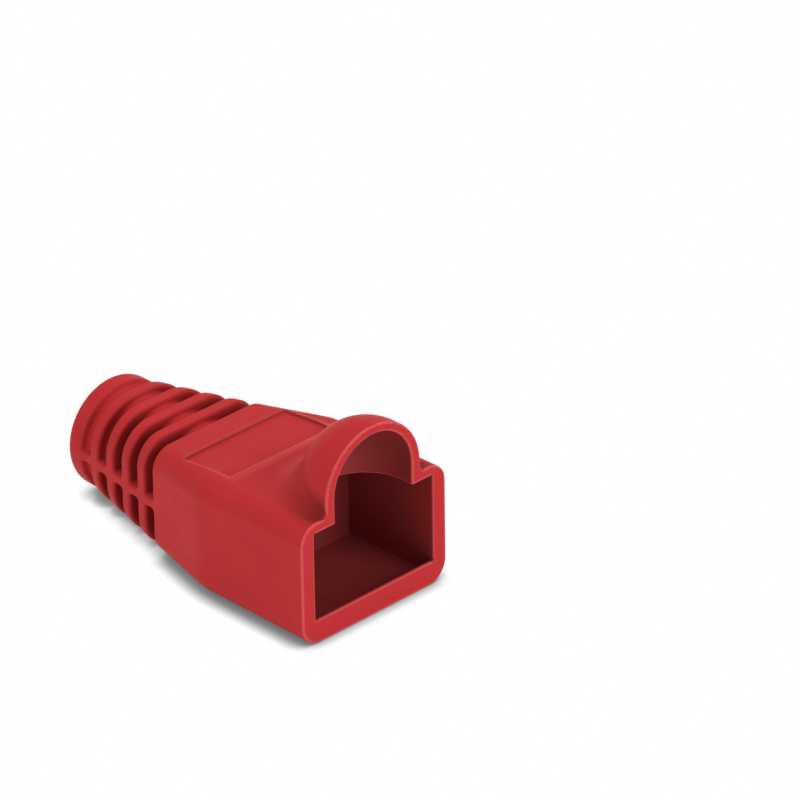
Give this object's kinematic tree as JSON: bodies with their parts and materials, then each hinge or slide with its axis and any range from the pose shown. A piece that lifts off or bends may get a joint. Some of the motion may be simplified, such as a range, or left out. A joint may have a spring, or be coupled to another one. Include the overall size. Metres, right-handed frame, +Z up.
{
  "type": "rj45 strain relief boot",
  "caption": "Moulded boot that slides over a patch cable and grips its modular plug, with a hood over the plug's latch and a ribbed sleeve that limits bending.",
  "frame": {"origin": "on the plane of the underside, below the middle of the bounding box", "axes": "+X from the plug mouth to the cable end, along the cable; +Y across the width; +Z up, towards the side with the latch hood"},
  "size_m": [0.028, 0.0142, 0.0154],
  "materials": {
    "soft_pvc": "satin moulded soft PVC, red"
  },
  "bodies": {
    "root": {"boot": "soft_pvc"}
  },
  "joints": []
}
